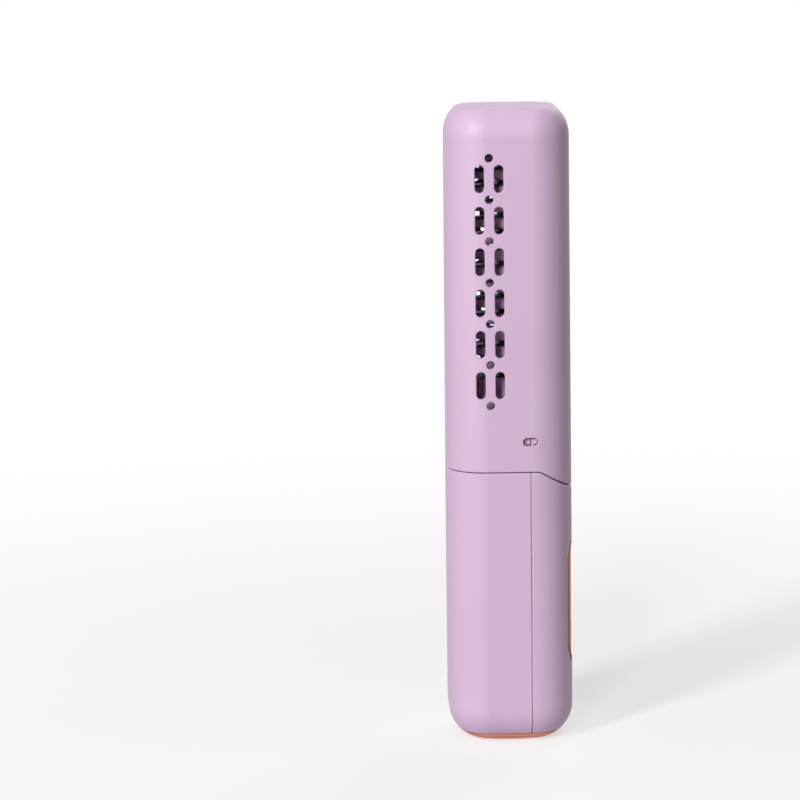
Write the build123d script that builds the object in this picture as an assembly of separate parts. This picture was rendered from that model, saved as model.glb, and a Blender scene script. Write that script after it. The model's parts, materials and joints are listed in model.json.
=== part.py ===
"""Cordless hot comb with a slide-off vented cap.

The handle stands on its base plate, +Z up, with the origin at the centre of the base.
The teeth point to -X, the thumb side with the buttons faces +X, and the flanks face -Y and +Y.
Two shells meet on a parting plane across X; they hold the battery, the board and the heated comb.
All sizes are in millimetres.
"""
from build123d import *
import os
from math import acos, atan2, cos, hypot, radians, sin, sqrt, tan

# ---- casing: the outside that the closed handle and cap share ----
CASE_DEPTH = 34.0          # along X, teeth side to thumb side
CASE_WIDTH = 33.0          # along Y, flank to flank
CASE_CORNER = 11.0         # upright corners
TOP_ROUND = 7.6            # edge of the cap's crown
BOTTOM_ROUND = 9.8         # edge of the foot
FOOT_FLAT = 0.25           # how much of the foot's rounding is cut off flat
DRAFT = 0.17               # degrees by which the casing narrows from the top of the handle upwards
WALL = 2.0                 # handle shells
SEAM_GAP = 0.1             # between the two shells
SEAM_GROOVE = 0.3          # width of the shadow groove along the seam
SEAM_DEPTH = 0.25
BASE_SPLIT = 2.4           # height where the shells end and the base plate begins
BASE_GAP = 0.2
FIT = 0.05                 # a trim piece in its seat
LAP = 0.1                  # running clearance between stacked inner pieces

# ---- mouth of the cap and the shoulder that it lands on ----
SPLIT_KNEE = 9.1           # from the thumb side to where the line turns down
SPLIT_SLOPE = 31.8         # degrees
KNEE_ROUND = 4.0
MOUTH_GAP = 0.25
MOUTH_EASE = 1.2           # degrees by which the cap's line falls less, so the gap opens there
SHOULDER_ROUND = 0.5
MOUTH_ROUND = 0.3

# ---- cap ----
CAP_WALL = 1.6
CAP_CLEAR = 0.3            # between the neck and the inside of the cap
CROWN_CLEAR = 2.8          # between the head and the inside of the crown
VENT_X = -5.2              # axis of the vent column
VENT_PITCH = 11.1
VENT_DROP = 12.65          # from the crown to the highest round vent
VENT_ROWS = 6
VENT_SPACING = 5.15        # between the two slots of a row
SLOT_LENGTH = 7.4
SLOT_WIDTH = 2.5
DOT_DIAMETER = 2.2
VENT_EDGE = 0.2

# ---- neck and its snap features ----
NECK_HEIGHT = 10.0         # above the level part of the shoulder
SNAP_DROP = 1.6            # from the neck's top to the middle of the nub
SNAP_LENGTH = 4.0
SNAP_TALL = 1.9
SNAP_PROUD = 0.55
SNAP_CLEAR = 0.2
SNAP_RIB = 0.95            # rib on the back shell, from the seam down to the shoulder
SNAP_RIB_PROUD = 0.35
KEY_WIDTH = 10.0
KEY_DROP = 1.2             # top of the pad under the shoulder's level part
KEY_PROUD = 0.5
KEY_CLEAR = 0.3

# ---- head ----
FLARE_HEIGHT = 8.6         # cove between the neck and the straight head
HEAD_TOP_SLOPE = 2.6       # degrees, falling towards the tips
HEAD_FRONT_INSET = 0.8     # tips of the teeth behind the neck's front
HEAD_BACK_INSET = 1.5
HEAD_FRONT_HALF = 3.6      # half thickness at the tips
HEAD_TAPER = 0.2           # growth of the half thickness per mm towards the back
HEAD_FRONT_ROUND = 2.4
HEAD_BACK_ROUND = 7.2
HEAD_TOP_ROUND = 1.6
HEAD_FOOT = 6.36           # from the flare to the middle of the lowest gap
HEAD_CROWN = 7.2           # from the middle of the highest gap to the head's top at the seam

# ---- teeth ----
GAP_COUNT = 15             # one more than the teeth
GAP_PITCH = 4.36
GAP_DEPTH = 14.1           # from the tips to the root
GAP_ROOT = 1.5             # width of a gap at its root
TOOTH_TIP = 0.8            # radius of a tooth's tip
TIP_BEHIND = 0.05          # the tips stand this much behind the front of the end blocks
TOP_BLOCK_FLARE = 2.5      # degrees by which the top block's edge rises towards the tips
BLOCK_TIP_ROUND = 1.0      # the end blocks' corners beside the outer gaps
TOOTH_EDGE = 0.65          # rounding of the teeth on both flanks
TOOTH_WALL = 2.8           # each flank of a tooth
TIP_SOLID = 4.5            # length over which the two flanks of a tooth join at its tip

# ---- heated comb inside the teeth ----
HEATER_CLEAR = 0.2
HEATER_PROUD = 0.25        # how far a hot fin stands past the plastic tooth, up and down
HEATER_AHEAD = 2.0         # its gaps end this far in front of the plastic gaps' roots
HEATER_SPINE = 3.2         # its back stands this far behind them
HEATER_BELOW = 2.9         # end blocks past the lowest and the highest gap
HEATER_ABOVE = 4.4
HEATER_BLOCK_FLARE = 3.3
SERVICE_LAP = 1.5          # in front of the comb's back the head is already hollow to the thin wall
CERAMIC_THICK = 1.2
CERAMIC_WIDTH = 5.2
CERAMIC_LOW = 4.5          # its ends, inside the ends of the comb
CERAMIC_HIGH = 3.8
CLIP_THICK = 1.0
CLIP_WIDTH = 7.8
CLIP_LEG = 0.7
CLIP_LOW = 5.5             # its ends, inside the ends of the comb
CLIP_HIGH = 1.8
CLIP_SLOT_LENGTH = 4.2
CLIP_SLOT_WIDTH = 1.6
CLIP_RIB_WIDTH = 6.4
CLIP_RIB_TALL = 1.2
SENSOR_DIAMETER = 1.6
SENSOR_LENGTH = 5.0
SENSOR_LEAD_GAP = 0.9
FUSE_DIAMETER = 3.0
FUSE_LENGTH = 10.0
FUSE_STUB = 3.0            # its bare leads
FUSE_DROP = 8.5            # below the middle of the clip

# ---- battery and chassis ----
CELL_DIAMETER = 18.4
CELL_LENGTH = 65.0
CELL_CLEAR = 0.1           # to the neck's front wall
CELL_LIFT = 2.6            # above the base frame, for the charging board and a lead
CELL_BELOW_SPLIT = 0.8     # its top under the level part of the shoulder
NICKEL = 0.25
CHASSIS_THICK = 1.2
CHASSIS_CLEAR = 0.25       # to the shells' flanks
CHASSIS_SHOULDER = 4.4     # from the cell's lower end up to the wide part
CHASSIS_WIDE_DROP = 8.4    # from the level part of the shoulder down to the end of the wide part
STOP_THICK = 1.2           # tongues over and under the cell
STOP_CLEAR = 0.5           # over the nickel strip
LEDGE = 1.0                # ledges of the shells that clamp the chassis
LEDGE_PROUD = 1.2
SADDLE_LOW = 8.4           # lowest saddle above the cell's lower end
SADDLE_HIGH = 13.6         # highest saddle under the cell's upper end
SADDLE_TALL = 4.0
SADDLE_WALL = 1.2
SADDLE_CLEAR = 0.15
SADDLE_WRAP = 2.0          # how far a saddle reaches past the cell's middle

# ---- boards, port and base ----
BOARD_THICK = 1.2
BOARD_LIFT = 0.25          # spacers between chassis and board
BOARD_LOW = 2.4            # its lower edge above the cell's lower end
BOARD_HIGH = 2.8           # its upper edge under the neck's top
BOARD_WIDTH = 19.0
BOARD_SCREW = 1.6
BOARD_SCREW_HEAD = 3.0
SCREW_UNDER_MODE = 7.5     # board screws below the two keys
SCREW_UNDER_POWER = 10.0
LAMP_TALL = 0.8
PORT_WIDTH = 8.94          # USB-C receptacle
PORT_DEPTH = 3.26
PORT_LENGTH = 6.6
PORT_RECESS = 0.4          # its mouth above the surface that the comb stands on
PORT_TONGUE = 6.6
FRAME_THICK = 1.6
SCREW_BEHIND = 3.0         # base screws in front of the seam
SCREW_Y = 10.2
SCREW_SHANK = 2.0
SCREW_LENGTH = 8.0
SCREW_HEAD = 3.6
SCREW_HEAD_TALL = 1.3
BOSS_DIAMETER = 4.0
BOSS_WEB = 1.2
DISH_WALL = 1.2
DISH_FLOOR = 1.0
PEG_DIAMETER = 2.4
PEG_X = 8.0
PEG_Y = 7.0
CHARGE_BOARD = 0.8
CHARGE_BOARD_WIDTH = 15.0
CHARGE_BOARD_DEPTH = 7.0
RIBBON = 0.2
RIBBON_WIDTH = 4.6
WIRE = 1.2
FINE_WIRE = 0.6
LEAD_RISE = 4.4            # the positive lead passes the chassis this far above the cell
LEAD_Y = 4.4
LEAD_TAB_Y = 5.6
LEAD_LOW_Y = 7.0

# ---- buttons, bezels and the thumb-side panel ----
BUTTON_TRAVEL = 0.4
BUTTON_CLEAR = 0.15
BUTTON_PROUD = 0.2         # the round key past the panel's face
FLANGE_THICK = 0.6
FLANGE_RIM = 0.8
POWER_DROP = 6.4           # the oval key's middle under the neck's top
POWER_WIDTH = 19.8
POWER_TALL = 4.4
BEZEL_RIM = 0.8
BEZEL_DEPTH = 1.0
PANEL_BOTTOM = 20.7
PANEL_TALL = 35.4
PANEL_WIDTH = 22.4
PANEL_CORNER = 6.0
PANEL_DEPTH = 1.0
PANEL_RIM = 1.3
PANEL_BEVEL = 0.3          # polished edge round the rim
PANEL_RECESS = 0.25
MODE_RISE = 8.8            # the round key's middle above the panel's lower end
MODE_DIAMETER = 8.6
STEM_DIAMETER = 3.0
DISH_RADIUS = 18.0         # finger hollow of the round key
DISH_DEEP = 0.3
LIGHT_COUNT = 3
LIGHT_PITCH = 4.6
LIGHT_RISE = 12.1          # lowest light above the round key
LIGHT_DIAMETER = 1.6
SWITCH_SIZE = 6.0
SWITCH_TALL = 2.5
PLUNGER_DIAMETER = 2.4
PLUNGER_SHOWS = 0.8

FAR = 60.0                 # reach of cutting tools
HIGH = 400.0               # a level above everything

# ---- levels, from the foot upwards ----
FLOOR_TOP = PORT_RECESS + PORT_LENGTH
FRAME_LEVEL = FLOOR_TOP - FRAME_THICK
CELL_BOTTOM = FLOOR_TOP + CELL_LIFT
CELL_TOP = CELL_BOTTOM + CELL_LENGTH
LEAD_LOW = CELL_BOTTOM - NICKEL - LAP - WIRE / 2
LEAD_TOP = CELL_TOP + LEAD_RISE
SPLIT_HEIGHT = CELL_TOP + CELL_BELOW_SPLIT
SPLIT_DROP = SPLIT_KNEE * tan(radians(SPLIT_SLOPE))
NECK_ROOT = SPLIT_HEIGHT - SPLIT_DROP - 3 * WALL
WIDE_BOTTOM = CELL_BOTTOM + CHASSIS_SHOULDER
WIDE_TOP = SPLIT_HEIGHT - CHASSIS_WIDE_DROP
NECK_TOP = SPLIT_HEIGHT + NECK_HEIGHT
SNAP_HEIGHT = NECK_TOP - SNAP_DROP
BOARD_BOTTOM = CELL_BOTTOM + BOARD_LOW
BOARD_TOP = NECK_TOP - BOARD_HIGH
POWER_HEIGHT = NECK_TOP - POWER_DROP
MODE_HEIGHT = PANEL_BOTTOM + MODE_RISE
LIGHT_LEVELS = [MODE_HEIGHT + LIGHT_RISE + LIGHT_PITCH * i for i in range(LIGHT_COUNT)]
BOARD_SCREWS = [MODE_HEIGHT - SCREW_UNDER_MODE, POWER_HEIGHT - SCREW_UNDER_POWER]
HEAD_BOTTOM = NECK_TOP + FLARE_HEIGHT
GAP_LEVELS = [HEAD_BOTTOM + HEAD_FOOT + GAP_PITCH * i for i in range(GAP_COUNT)]
HEAD_TOP = GAP_LEVELS[-1] + HEAD_CROWN
CASE_HEIGHT = HEAD_TOP + CROWN_CLEAR + CAP_WALL
VENT_TOP = CASE_HEIGHT - VENT_DROP
HEATER_BOTTOM = GAP_LEVELS[0] - HEATER_BELOW
HEATER_TOP = GAP_LEVELS[-1] + HEATER_ABOVE
CERAMIC_BOTTOM = HEATER_BOTTOM + CERAMIC_LOW
CERAMIC_TOP = HEATER_TOP - CERAMIC_HIGH
SENSOR_BOTTOM = CERAMIC_BOTTOM - 1 - SENSOR_LENGTH
CLIP_BOTTOM = HEATER_BOTTOM + CLIP_LOW
CLIP_TOP = HEATER_TOP - CLIP_HIGH
FUSE_HEIGHT = (CLIP_BOTTOM + CLIP_TOP) / 2 - FUSE_DROP

# ---- places along X, from the neck's front wall backwards ----
NECK_INSET = CAP_WALL + CAP_CLEAR
NECK_DEPTH = CASE_DEPTH - 2 * NECK_INSET
NECK_WIDTH = CASE_WIDTH - 2 * NECK_INSET
NECK_CORNER = CASE_CORNER - NECK_INSET
CELL_X = CELL_DIAMETER / 2 + CELL_CLEAR + WALL - NECK_DEPTH / 2
CHASSIS_X = CELL_X + CELL_DIAMETER / 2 + LAP
CHASSIS_BACK = CHASSIS_X + CHASSIS_THICK
SEAM_X = CHASSIS_X - LAP   # parting plane of the two shells
SCREW_X = SEAM_X - SCREW_BEHIND
BOARD_X = CHASSIS_BACK + BOARD_LIFT
BOARD_FACE = BOARD_X + BOARD_THICK
SWITCH_FACE = BOARD_FACE + SWITCH_TALL
HEAD_FRONT = HEAD_FRONT_INSET - NECK_DEPTH / 2
HEAD_BACK = NECK_DEPTH / 2 - HEAD_BACK_INSET
GAP_ROOT_X = HEAD_FRONT + GAP_DEPTH
TIP_SOLID_X = HEAD_FRONT + TIP_SOLID
HEATER_ROOT_X = GAP_ROOT_X - HEATER_AHEAD
HEATER_BACK_X = GAP_ROOT_X + HEATER_SPINE
SERVICE_X = HEATER_BACK_X - SERVICE_LAP
CERAMIC_X = HEATER_BACK_X + LAP
CLIP_X = CERAMIC_X + CERAMIC_THICK + LAP
CLIP_BACK = CLIP_X + CLIP_THICK


# ---------------------------------------------------------------- helpers
def block(x0, x1, y0, y1, z0, z1):
    """A box between two corners."""
    return Pos((x0 + x1) / 2, (y0 + y1) / 2, (z0 + z1) / 2) * Box(x1 - x0, y1 - y0, z1 - z0)


def upright(sketch, z0, z1):
    """A plan outline raised from z0 to z1."""
    return Pos(0, 0, z0) * extrude(sketch, z1 - z0)


def across(profile, reach=FAR):
    """A side-view (X, Z) outline carried through both flanks."""
    return extrude(Plane.XZ * profile, reach, both=True)


def inward(outline, x0, x1):
    """A thumb-side (Y, Z) outline carried along X from x0 to x1."""
    return extrude(Plane.YZ.offset(x0) * outline, x1 - x0)


def rod(x, y, z, diameter, length, axis=(0, 0, 1)):
    """A round bar that starts at a point and runs along an axis."""
    return extrude(Plane((x, y, z), z_dir=axis) * Circle(diameter / 2), length)


def wire_run(points, bend, diameter=WIRE):
    """A round wire through a list of points."""
    path = FilletPolyline(*points, radius=bend)
    start = Plane(path @ 0, z_dir=path % 0)
    return sweep(start * Circle(diameter / 2), path)


def below(z):
    """Everything under a level."""
    return block(-FAR, FAR, -FAR, FAR, -FAR, z)


# ---------------------------------------------------------------- outer forms
def case_form(inset=0.0):
    """The closed outside, base to crown, moved inwards by inset."""
    outline = RectangleRounded(CASE_DEPTH - 2 * inset, CASE_WIDTH - 2 * inset, CASE_CORNER - inset)
    rise = CASE_HEIGHT - inset - NECK_ROOT
    form = upright(outline, inset - FOOT_FLAT, NECK_ROOT)
    form = form + Pos(0, 0, NECK_ROOT) * extrude(outline, rise, taper=DRAFT)
    form = fillet(form.faces().sort_by(Axis.Z)[-1].edges(), TOP_ROUND - inset)
    foot_round = min(BOTTOM_ROUND, CASE_CORNER - FIT)
    return fillet(form.faces().sort_by(Axis.Z)[0].edges(), foot_round - inset)


def above_split(lift=0.0, ease=0.0):
    """Everything above the line where cap and handle meet, raised by lift and eased in degrees."""
    z = SPLIT_HEIGHT + lift
    knee = CASE_DEPTH / 2 - SPLIT_KNEE
    drop = (FAR - knee) * tan(radians(SPLIT_SLOPE - ease))
    outline = FilletPolyline(
        (-FAR, z), (knee, z), (FAR, z - drop), (FAR, HIGH), (-FAR, HIGH),
        radius=[1, KNEE_ROUND, 1, 1, 1], close=True,
    )
    return across(make_face(outline))


def head_half(x, inset=0.0):
    """Half thickness of the wedge-shaped head at x."""
    return HEAD_FRONT_HALF + HEAD_TAPER * (x - HEAD_FRONT) - inset * sqrt(1 + HEAD_TAPER**2)


def blend_section(z, share, inset=0.0):
    """Plan outline between the neck (share 0) and the head (share 1)."""
    def mix(neck, head):
        return neck + (head - neck) * share

    front = mix(inset - NECK_DEPTH / 2, HEAD_FRONT + inset)
    back = mix(NECK_DEPTH / 2 - inset, HEAD_BACK - inset)
    front_half = mix(NECK_WIDTH / 2 - inset, head_half(HEAD_FRONT + inset, inset))
    back_half = mix(NECK_WIDTH / 2 - inset, head_half(HEAD_BACK - inset, inset))
    front_round = max(mix(NECK_CORNER, HEAD_FRONT_ROUND) - inset, 0.3)
    room = back_half * (sqrt(1 + HEAD_TAPER**2) - HEAD_TAPER) - FIT
    back_round = min(mix(NECK_CORNER, HEAD_BACK_ROUND) - inset, room)
    corners = [(front, -front_half, z), (back, -back_half, z), (back, back_half, z), (front, front_half, z)]
    rounds = [front_round, back_round, back_round, front_round]
    return make_face(FilletPolyline(*corners, radius=rounds, close=True))


def flare_form(inset=0.0):
    """The cove that carries the wide neck up into the slim head."""
    rise = HEAD_BOTTOM - NECK_TOP
    steps = [(0.0, 0.0), (0.1, 0.07), (0.25, 0.3), (0.45, 0.62), (0.65, 0.86), (0.85, 0.98), (1.0, 1.0)]
    return loft([blend_section(NECK_TOP + rise * up, share, inset) for up, share in steps])


def head_form(inset=0.0):
    """The wedge-shaped head with its rounded top, which falls a little towards the tips."""
    form = extrude(blend_section(HEAD_BOTTOM, 1.0, inset), HEAD_TOP + 5 - HEAD_BOTTOM, dir=(0, 0, 1))
    above = Box(2 * FAR, 2 * FAR, FAR, align=(Align.CENTER, Align.CENTER, Align.MIN))
    form = form - Pos(SEAM_X, 0, HEAD_TOP - inset) * Rot(0, -HEAD_TOP_SLOPE, 0) * above
    return fillet(form.faces().sort_by(Axis.Z)[-1].edges(), HEAD_TOP_ROUND - inset)


def neck_form(inset=0.0, top=NECK_TOP):
    """The collar that the cap slides over."""
    outline = RectangleRounded(NECK_DEPTH - 2 * inset, NECK_WIDTH - 2 * inset, NECK_CORNER - inset)
    return upright(outline, NECK_ROOT, top)


def lower_form():
    """The hand-held part up to its shoulder, whose edge is rounded."""
    form = case_form() - above_split()
    return fillet(split_rim(form), SHOULDER_ROUND)


def split_rim(form):
    """The outer edges of a form where cap and handle meet."""
    low, high = NECK_ROOT + FIT, SPLIT_HEIGHT + 1
    return [e for e in form.edges() if low < e.bounding_box().min.Z and e.bounding_box().max.Z < high]


def snap_bump():
    """The nub on each flank that clicks into the cap, with the rib below it."""
    def raised(outline, proud):
        return extrude(Plane.XZ * outline, NECK_WIDTH / 2 + proud, both=True)

    nub = raised(Pos(SEAM_X, SNAP_HEIGHT) * SlotOverall(SNAP_LENGTH, SNAP_TALL), SNAP_PROUD)
    crests = nub.faces().filter_by(Axis.Y)
    nub = fillet(crests.edges(), SNAP_PROUD - 0.1)
    tall = SNAP_HEIGHT - SPLIT_HEIGHT + 1
    place = Pos(SEAM_X + (SNAP_RIB + SEAM_GAP) / 2, SPLIT_HEIGHT - 1 + tall / 2)
    return nub + raised(place * Rectangle(SNAP_RIB, tall), SNAP_RIB_PROUD)


def rear_key():
    """The pad low on the neck's thumb side that stops the cap from turning."""
    half = KEY_WIDTH / 2
    back = NECK_DEPTH / 2
    return block(back - 1, back + KEY_PROUD, -half, half, NECK_ROOT, SPLIT_HEIGHT - KEY_DROP)


def handle_form():
    """The whole outside of the handle, neck and head."""
    return lower_form() + neck_form() + flare_form() + head_form() + snap_bump() + rear_key()


# ---------------------------------------------------------------- teeth
def comb_tool(root_x, root_round, tip_round, bottom_flare, top_flare):
    """One cutting tool for all the gaps, with round roots and round tooth tips.

    A side of a tooth is the line that touches a root circle and a tip circle. The end blocks
    have straight edges that flare by their own angle in degrees.
    """
    open_x = HEAD_FRONT - 5
    root_centre = root_x - root_round
    tip_centre = HEAD_FRONT + TIP_BEHIND + TOOTH_TIP
    half = GAP_PITCH / 2
    depth = root_centre - tip_centre
    lean = acos((root_round + tip_round) / hypot(half, depth)) - atan2(depth, half)

    def on_root(level, side, angle):
        return root_centre + root_round * sin(angle), level + side * root_round * cos(angle)

    def on_tip(level, side):
        return tip_centre - tip_round * sin(lean), level - side * tip_round * cos(lean)

    def at_mouth(start, side, angle):
        return open_x, start[1] + side * (start[0] - open_x) * tan(angle)

    low, high = radians(bottom_flare), radians(top_flare)
    here = on_root(GAP_LEVELS[0], -1, low)
    first = at_mouth(here, -1, low)
    lines = [Line(first, here)]
    for level in GAP_LEVELS:
        last = level == GAP_LEVELS[-1]
        there = on_root(level, 1, high if last else lean)
        lines.append(ThreePointArc(here, (root_x, level), there))
        if not last:
            under, over = on_tip(level + half, 1), on_tip(level + half, -1)
            here = on_root(level + GAP_PITCH, -1, lean)
            tip = ThreePointArc(under, (tip_centre - tip_round, level + half), over)
            lines += [Line(there, under), tip, Line(over, here)]
    end = at_mouth(there, 1, high)
    lines += [Line(there, end), Line(end, first)]
    return across(make_face(Wire(lines)))


def block_corner(side):
    """What rounds an end block's front corner off: side -1 beside the lowest gap, 1 beside the highest."""
    level = GAP_LEVELS[0] if side < 0 else GAP_LEVELS[-1]
    flare = 0.0 if side < 0 else GAP_DEPTH * tan(radians(TOP_BLOCK_FLARE))
    edge = level + side * (GAP_ROOT / 2 + flare)
    x, z = HEAD_FRONT + BLOCK_TIP_ROUND, edge + side * BLOCK_TIP_ROUND
    z0, z1 = sorted((edge - side * FIT, z))
    corner = block(HEAD_FRONT - 1, x, -FAR, FAR, z0, z1)
    return corner - across(Pos(x, z) * Circle(BLOCK_TIP_ROUND))


def round_teeth(shell):
    """Softens the edges where the gaps meet the two flanks."""
    edges = []
    for edge in shell.edges():
        c, ends = edge.center(), edge.vertices()
        beside_gap = GAP_LEVELS[0] - 2 < c.Z < GAP_LEVELS[-1] + 2 and c.X < GAP_ROOT_X + 0.1
        on_flank = all(abs(abs(v.Y) - head_half(v.X)) < 0.02 for v in ends)
        level_or_round = edge.geom_type == GeomType.ELLIPSE or abs(ends[0].X - ends[-1].X) > 0.1
        if beside_gap and on_flank and level_or_round:
            edges.append(edge)
    return fillet(edges, TOOTH_EDGE)


# ---------------------------------------------------------------- shells
def head_tunnel():
    """The hollow of the head: a slim slot for the heated comb and a wider duct behind it."""
    def duct(wall):
        foot = NECK_TOP - WALL - 1
        return extrude(blend_section(foot, 1.0, wall), HEAD_TOP - WALL - foot, dir=(0, 0, 1))

    slot = duct(TOOTH_WALL) & block(TIP_SOLID_X, SERVICE_X, -FAR, FAR, HEATER_BOTTOM, HEATER_TOP)
    rear = duct(WALL) & block(SERVICE_X, FAR, -FAR, FAR, 0, HIGH)
    return slot + (rear - block(-FAR, SEAM_X, -FAR, FAR, HEATER_TOP, HIGH))


def handle_cavity():
    """The hollow inside the two shells."""
    lower = (case_form(WALL) - above_split(-WALL)) - below(BASE_SPLIT - 1)
    return lower + neck_form(WALL, NECK_TOP - WALL) + head_tunnel()


def seam_groove():
    """The shallow shadow line along the parting plane."""
    slab = block(SEAM_X - SEAM_GROOVE / 2, SEAM_X + SEAM_GROOVE / 2, -FAR, FAR, 0, HIGH)
    core = (case_form(SEAM_DEPTH) - above_split(-SEAM_DEPTH)) + neck_form(SEAM_DEPTH)
    return slab - (core + flare_form(SEAM_DEPTH) + head_form(SEAM_DEPTH))


def front_shell(hollow, groove):
    """Teeth-side shell: handle front, neck front and the plastic teeth in one moulding."""
    front = SEAM_X - SEAM_GAP / 2
    shell = hollow & block(-FAR, front, -FAR, FAR, 0, HIGH)
    shell = shell - comb_tool(GAP_ROOT_X, GAP_ROOT / 2, TOOTH_TIP, 0.0, TOP_BLOCK_FLARE)
    shell = round_teeth(shell) - block_corner(-1) - block_corner(1) - groove
    for side in (-1, 1):
        shell = shell + screw_boss(side) + chassis_ledge(side, front - LEDGE, front)
    for side in (-1, 1):
        shell = shell - rod(SCREW_X, side * SCREW_Y, 0, SCREW_SHANK + LAP, FRAME_LEVEL + SCREW_LENGTH)
    return shell


def screw_boss(side):
    """A boss that a base screw goes up into, webbed to the flank."""
    bottom = FLOOR_TOP + FIT
    boss = rod(SCREW_X, side * SCREW_Y, bottom, BOSS_DIAMETER, SCREW_LENGTH)
    y0, y1 = sorted((side * SCREW_Y, side * (CASE_WIDTH / 2 - WALL / 2)))
    half = BOSS_WEB / 2
    return boss + block(SCREW_X - half, SCREW_X + half, y0, y1, bottom + WALL, bottom + SCREW_LENGTH)


def chassis_ledge(side, x0, x1):
    """A ledge on the shell's flank that the chassis is clamped against."""
    inner = CASE_WIDTH / 2 - WALL
    y0, y1 = sorted((side * (inner - LEDGE_PROUD), side * (inner + WALL / 4)))
    return block(x0, x1, y0, y1, WIDE_BOTTOM + 2 * LEDGE, WIDE_TOP - LEDGE)


def back_shell(hollow, groove):
    """Thumb-side shell, with the seats of the panel and both keys."""
    shell = (hollow & block(SEAM_X + SEAM_GAP / 2, FAR, -FAR, FAR, 0, HIGH)) - groove
    shell = shell - (panel_prism(FIT) - case_form(PANEL_DEPTH + FIT))
    shell = shell - mode_bore() - light_bores() - power_oval(BUTTON_CLEAR)
    shell = shell - (power_oval(BEZEL_RIM + BUTTON_CLEAR + FIT) - neck_form(BEZEL_DEPTH + FIT))
    ledge = CHASSIS_BACK + LAP
    for side in (-1, 1):
        shell = shell + chassis_ledge(side, ledge, ledge + LEDGE)
    for z in (CLIP_BOTTOM + 5, FUSE_HEIGHT + 1.5 * FUSE_LENGTH, CLIP_TOP - 4):
        shell = shell + clip_rib(z)
    return shell


def clip_rib(z):
    """A cross rib inside the head that presses on the heater clip."""
    half, tall = CLIP_RIB_WIDTH / 2, CLIP_RIB_TALL / 2
    return block(CLIP_BACK + LAP, HEAD_BACK - 0.75 * WALL, -half, half, z - tall, z + tall)


# ---------------------------------------------------------------- cap
def cap_shell():
    """The vented cap: one moulding that slides over the neck."""
    cap = case_form() & above_split(MOUTH_GAP, MOUTH_EASE)
    cap = fillet(split_rim(cap), MOUTH_ROUND) - case_form(CAP_WALL)
    window = SlotOverall(SNAP_LENGTH, SNAP_TALL + 2 * SNAP_CLEAR)
    for x, z, outline in vent_outlines() + [(SEAM_X, SNAP_HEIGHT, window)]:
        for side in (-1, 1):
            cap = cap - square_cut(side, x, z, outline)
    return soften_vents(cap) - key_grooves()


def square_cut(side, x, z, outline):
    """A tool that cuts an opening square to one sloping flank of the cap."""
    tool = extrude(Plane.XZ * outline, 3 * CAP_WALL, both=True)
    return Pos(x, side * CASE_WIDTH / 2, z) * Rot(side * DRAFT, 0, 0) * tool


def key_grooves():
    """Grooves inside the cap's mouth for the snap nubs, the rib and the rear key."""
    flank = CASE_WIDTH / 2 - CAP_WALL + SNAP_PROUD - CAP_CLEAR + SNAP_CLEAR
    half = SNAP_LENGTH / 2 + SNAP_CLEAR
    nub_top = SNAP_HEIGHT + SNAP_TALL / 2 + SNAP_CLEAR
    snap = block(SEAM_X - half, SEAM_X + half, -flank, flank, NECK_ROOT, nub_top)
    rear = CASE_DEPTH / 2 - CAP_WALL
    wide = KEY_WIDTH / 2 + KEY_CLEAR
    key_top = SPLIT_HEIGHT - KEY_DROP + KEY_CLEAR
    return snap + block(rear - 1, rear + KEY_PROUD, -wide, wide, NECK_ROOT, key_top)


def vent_outlines():
    """Places and outlines of the vents: round ones between pairs of slots."""
    vents = [(VENT_X, VENT_TOP - row * VENT_PITCH, Circle(DOT_DIAMETER / 2)) for row in range(VENT_ROWS + 1)]
    slot = Rot(0, 0, 90) * SlotOverall(SLOT_LENGTH, SLOT_WIDTH)
    for row in range(VENT_ROWS):
        for side in (-1, 1):
            vents.append((VENT_X + side * VENT_SPACING / 2, VENT_TOP - (row + 0.5) * VENT_PITCH, slot))
    return vents


def soften_vents(cap):
    """Breaks the outer edges of the vents and of the snap windows."""
    skin = CASE_WIDTH / 2 - CAP_WALL / 2
    reach = max(SEAM_X + SNAP_LENGTH, VENT_SPACING - VENT_X)
    edges = []
    for edge in cap.edges():
        c, size = edge.center(), edge.bounding_box().size
        small = max(size.X, size.Z) < SLOT_LENGTH and size.Y < CAP_WALL / 2
        outer = abs(c.Y) > skin and all(abs(v.Y) > skin for v in edge.vertices())
        beside = NECK_TOP - NECK_HEIGHT / 2 < c.Z < VENT_TOP + DOT_DIAMETER and abs(c.X) < reach
        if small and outer and beside:
            edges.append(edge)
    return chamfer(edges, VENT_EDGE)


# ---------------------------------------------------------------- base
def port_outline(clear=0.0):
    """The rounded slot shape of the charging port."""
    return Rot(0, 0, 90) * SlotOverall(PORT_WIDTH + 2 * clear, PORT_DEPTH + 2 * clear)


def base_plate():
    """The dish under the foot, with the port's opening and pegs that press into the base frame."""
    dish = case_form() & block(-FAR, FAR, -FAR, FAR, 0, BASE_SPLIT - BASE_GAP)
    dish = dish - (case_form(DISH_WALL) - below(DISH_FLOOR))
    dish = dish - upright(port_outline(2 * LAP), -1, FLOOR_TOP)
    start = DISH_FLOOR - DISH_FLOOR / 5
    for x, y in peg_places():
        dish = dish + rod(x, y, start, PEG_DIAMETER, FLOOR_TOP - 2 * LAP - start)
    return dish


def peg_places():
    """Plan positions of the pegs."""
    return [(-PEG_X, -PEG_Y), (-PEG_X, PEG_Y), (PEG_X, 0)]


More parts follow.
